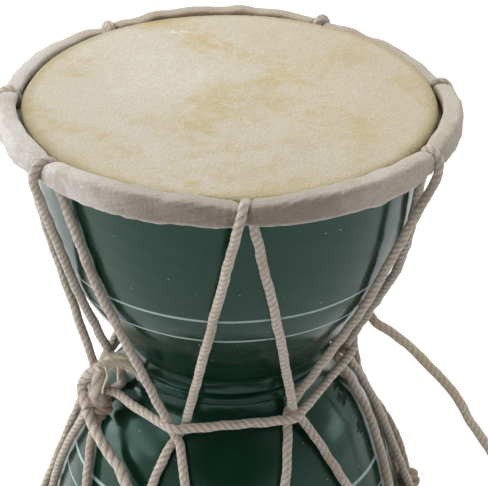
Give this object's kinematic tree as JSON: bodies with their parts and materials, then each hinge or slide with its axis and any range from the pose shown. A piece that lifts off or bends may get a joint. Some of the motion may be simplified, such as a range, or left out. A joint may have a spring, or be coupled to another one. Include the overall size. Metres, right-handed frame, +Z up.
{
  "type": "hourglass hand drum",
  "caption": "Small hourglass drum of turned wood with a skin at each end, laced by one rope, with a cord drawn round the waist and two knotted striker cords.",
  "frame": {"origin": "on the floor under the drum's middle, where the lap of the lower skin stands", "axes": "+Z up along the drum's axis; -Y faces the player, as in the picture"},
  "size_m": [0.2509, 0.1696, 0.2184],
  "materials": {
    "painted_wood": "glossy dark green paint",
    "skin": "scraped hide, matte",
    "cane": "bare",
    "cotton_rope": "twisted cotton, matte"
  },
  "bodies": {
    "drum": {"shell": "painted_wood", "top_head": "skin", "bottom_head": "skin", "top_hoop": "cane", "bottom_hoop": "cane", "lacing_rope": "cotton_rope", "waist_cord": "cotton_rope", "waist_knot": "cotton_rope", "frayed_end": "cotton_rope", "loose_cord": "cotton_rope", "loose_cord_knot": "cotton_rope"},
    "left_striker": {"left_striker_cord": "cotton_rope", "left_striker_knot": "cotton_rope"},
    "right_striker": {"right_striker_hitch": "cotton_rope", "right_striker_cord": "cotton_rope", "right_striker_knot": "cotton_rope"}
  },
  "joints": [
    {"name": "left_striker_swing", "type": "hinge", "parent": "drum", "child": "left_striker", "pos_m": [-0.05331, -0.02775, 0.0972], "axis": [-0.4618, 0.887, 0], "range_deg": [0, 90]},
    {"name": "right_striker_swing", "type": "hinge", "parent": "drum", "child": "right_striker", "pos_m": [0.04296, 0.02298, 0.10942], "axis": [0.3295, -0.9434, 0.0374], "range_deg": [0, 100]}
  ]
}
